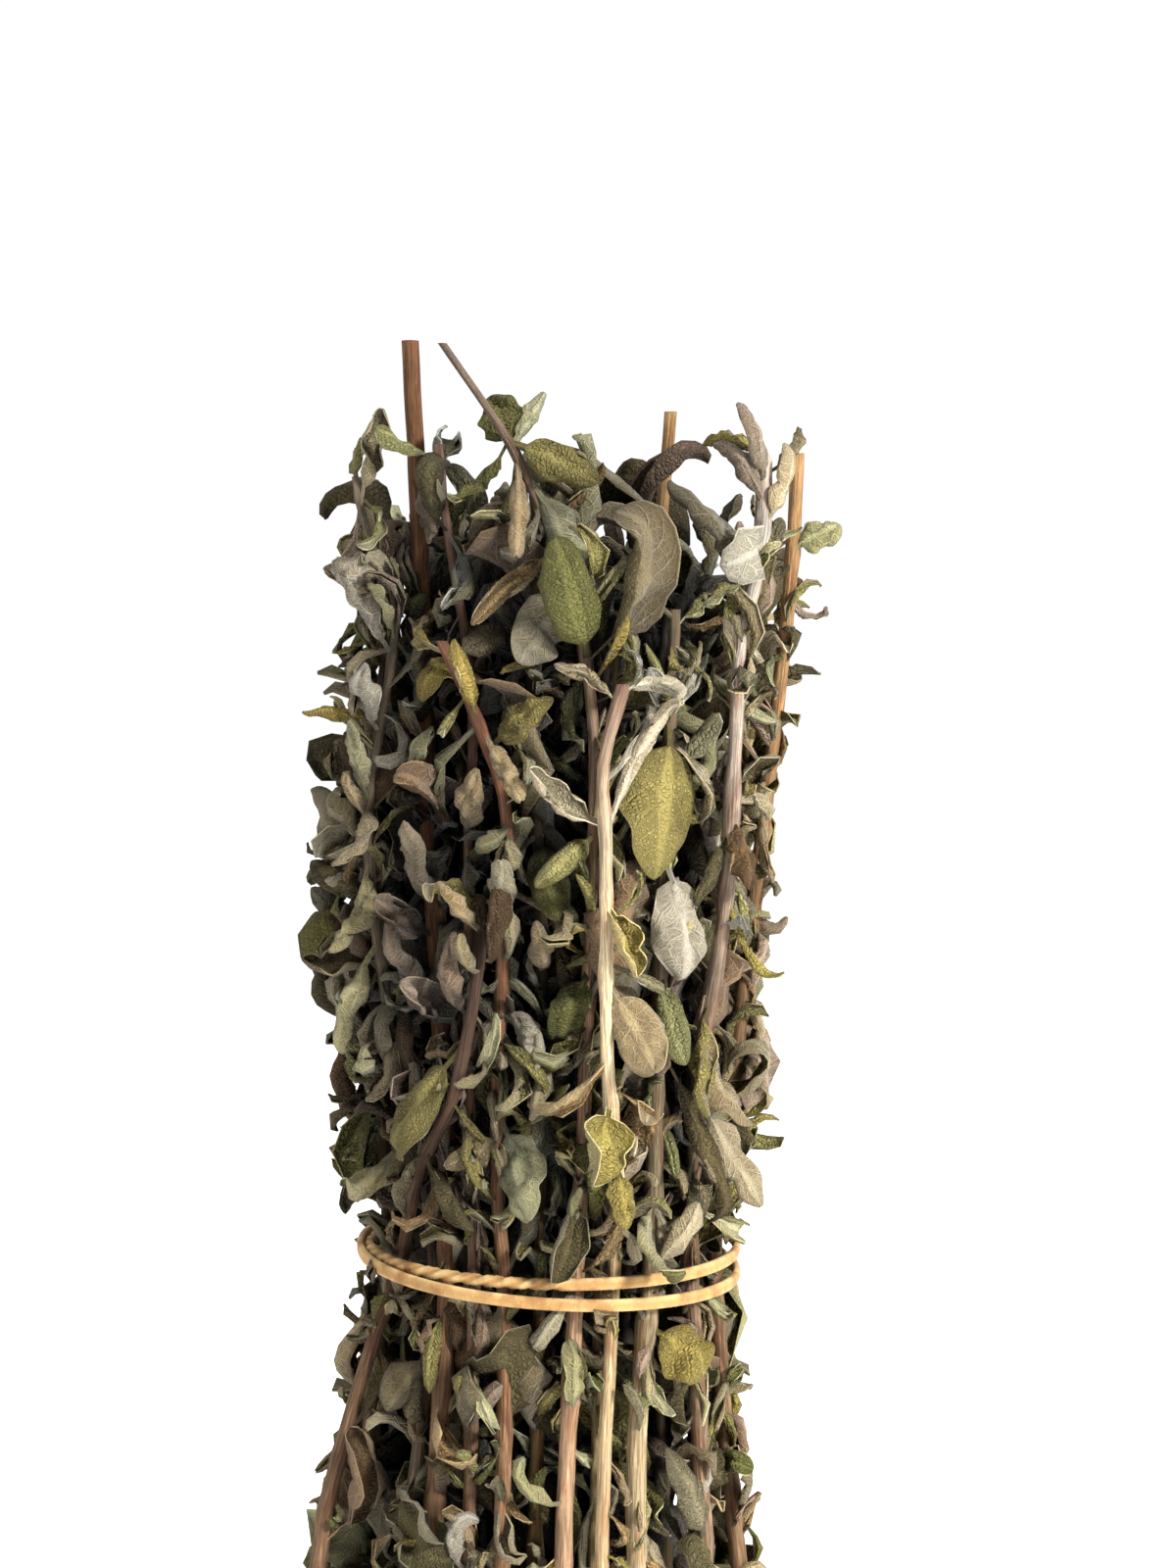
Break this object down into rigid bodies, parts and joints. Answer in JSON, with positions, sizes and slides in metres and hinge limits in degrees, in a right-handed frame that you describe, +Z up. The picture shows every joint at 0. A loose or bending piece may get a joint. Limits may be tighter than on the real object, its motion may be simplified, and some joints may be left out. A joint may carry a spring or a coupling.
{
  "type": "bunch of dried sage",
  "caption": "Dried sage standing as a sheaf on its cut stem ends: leafy woody stems with curled olive and grey-green leaves, gripped at the waist by a doubled tan rubber band.",
  "frame": {"origin": "cut end of the middle stem, on the surface that the bunch stands on", "axes": "+Z up along the stems, -Y towards the front, where the two strands of the band part at the right, +X to the right seen from the front"},
  "size_m": [0.1104, 0.1014, 0.299],
  "materials": {
    "sprig_green": "matt, dried olive-green leaves with a pebbled upper face",
    "sprig_grey": "matt, felted grey-green undersides with raised veins",
    "sprig_brown": "matt, woody brown stems with dried brown-green leaves",
    "sprig_pale": "matt, pale straw stems with woolly grey leaves",
    "rubber_band": "satin, tan natural rubber"
  },
  "bodies": {
    "root": {"stem_left_dark": "sprig_brown", "stem_left_grey": "sprig_grey", "stem_left_cut": "sprig_brown", "stem_left_thin": "sprig_grey", "stem_front_left": "sprig_green", "stem_front_ochre": "sprig_green", "stem_front_long": "sprig_green", "stem_front_pale": "sprig_pale", "stem_front_thin": "sprig_green", "stem_front_thick": "sprig_grey", "stem_right_woolly": "sprig_grey", "stem_right_cut": "sprig_brown", "stem_crown_cut": "sprig_brown", "stem_back_01": "sprig_green", "stem_back_02": "sprig_grey", "stem_back_03": "sprig_green", "stem_back_04": "sprig_brown", "stem_back_05": "sprig_grey", "stem_back_06": "sprig_green", "stem_back_07": "sprig_pale", "stem_back_08": "sprig_green", "stem_back_09": "sprig_grey", "stem_back_10": "sprig_green", "stem_middle_01": "sprig_brown", "stem_middle_02": "sprig_grey", "stem_middle_03": "sprig_green", "stem_middle_04": "sprig_pale", "stem_middle_05": "sprig_green", "stem_middle_06": "sprig_grey", "stem_middle_07": "sprig_green", "stem_middle_08": "sprig_brown", "stem_middle_09": "sprig_grey", "stem_middle_10": "sprig_green", "stem_middle_11": "sprig_pale", "stem_middle_12": "sprig_green", "stem_inner_01": "sprig_pale", "stem_inner_02": "sprig_green", "stem_inner_03": "sprig_grey", "stem_inner_04": "sprig_green", "stem_inner_05": "sprig_brown", "stem_inner_06": "sprig_grey", "stem_centre": "sprig_brown", "rubber_band": "rubber_band"}
  },
  "joints": []
}
